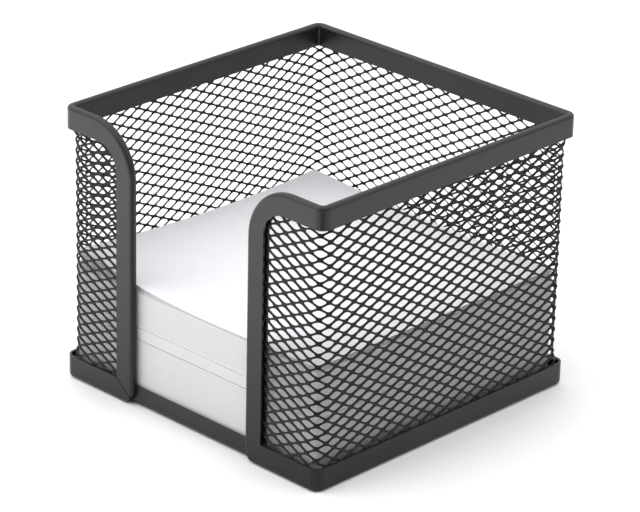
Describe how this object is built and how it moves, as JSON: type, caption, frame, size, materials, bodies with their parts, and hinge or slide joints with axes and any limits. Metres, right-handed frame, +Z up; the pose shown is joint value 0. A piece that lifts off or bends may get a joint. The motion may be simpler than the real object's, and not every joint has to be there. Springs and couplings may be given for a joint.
{
  "type": "memo box",
  "caption": "Square open-topped desk memo box of black expanded-metal mesh with folded steel edges, a cut-out front for the fingers and a stack of note paper.",
  "frame": {"origin": "centre of the base on the surface it stands on", "axes": "+Z up, the cut-out front faces -Y, +X to the right of someone facing the opening from outside"},
  "size_m": [0.096, 0.096, 0.0787],
  "materials": {
    "powder_coat": "satin black powder coat",
    "mesh_coat": "satin black powder coat",
    "note_paper": "uncoated white"
  },
  "bodies": {
    "box": {"rim_left": "powder_coat", "rim_back": "powder_coat", "rim_right": "powder_coat", "front_post_left": "powder_coat", "front_post_right": "powder_coat", "base_band_left": "powder_coat", "base_band_back": "powder_coat", "base_band_right": "powder_coat", "base_band_front_left": "powder_coat", "base_band_front_right": "powder_coat", "base_pan": "powder_coat", "mesh_front_right": "mesh_coat", "mesh_bend_front_right": "mesh_coat", "mesh_right": "mesh_coat", "mesh_bend_back_right": "mesh_coat", "mesh_back": "mesh_coat", "mesh_bend_back_left": "mesh_coat", "mesh_left": "mesh_coat", "mesh_bend_front_left": "mesh_coat", "mesh_front_left": "mesh_coat"},
    "notes_lower": {"notes_lower": "note_paper"},
    "notes_middle": {"notes_middle": "note_paper"},
    "notes_upper": {"notes_upper": "note_paper"},
    "loose_sheet_1": {"loose_sheet_1": "note_paper"},
    "loose_sheet_2": {"loose_sheet_2": "note_paper"},
    "loose_sheet_3": {"loose_sheet_3": "note_paper"}
  },
  "joints": [
    {"name": "notes_lower_lift", "type": "slide", "parent": "box", "child": "notes_lower", "axis": [0, 0, 1], "range_m": [0, 0.08]},
    {"name": "notes_middle_lift", "type": "slide", "parent": "notes_lower", "child": "notes_middle", "axis": [0, 0, 1], "range_m": [0, 0.062]},
    {"name": "notes_upper_lift", "type": "slide", "parent": "notes_middle", "child": "notes_upper", "axis": [0, 0, 1], "range_m": [0, 0.058]},
    {"name": "loose_sheet_1_lift", "type": "slide", "parent": "notes_upper", "child": "loose_sheet_1", "axis": [0, 0, 1], "range_m": [0, 0.047]},
    {"name": "loose_sheet_2_lift", "type": "slide", "parent": "loose_sheet_1", "child": "loose_sheet_2", "axis": [0, 0, 1], "range_m": [0, 0.047]},
    {"name": "loose_sheet_3_lift", "type": "slide", "parent": "loose_sheet_2", "child": "loose_sheet_3", "axis": [0, 0, 1], "range_m": [0, 0.047]}
  ]
}
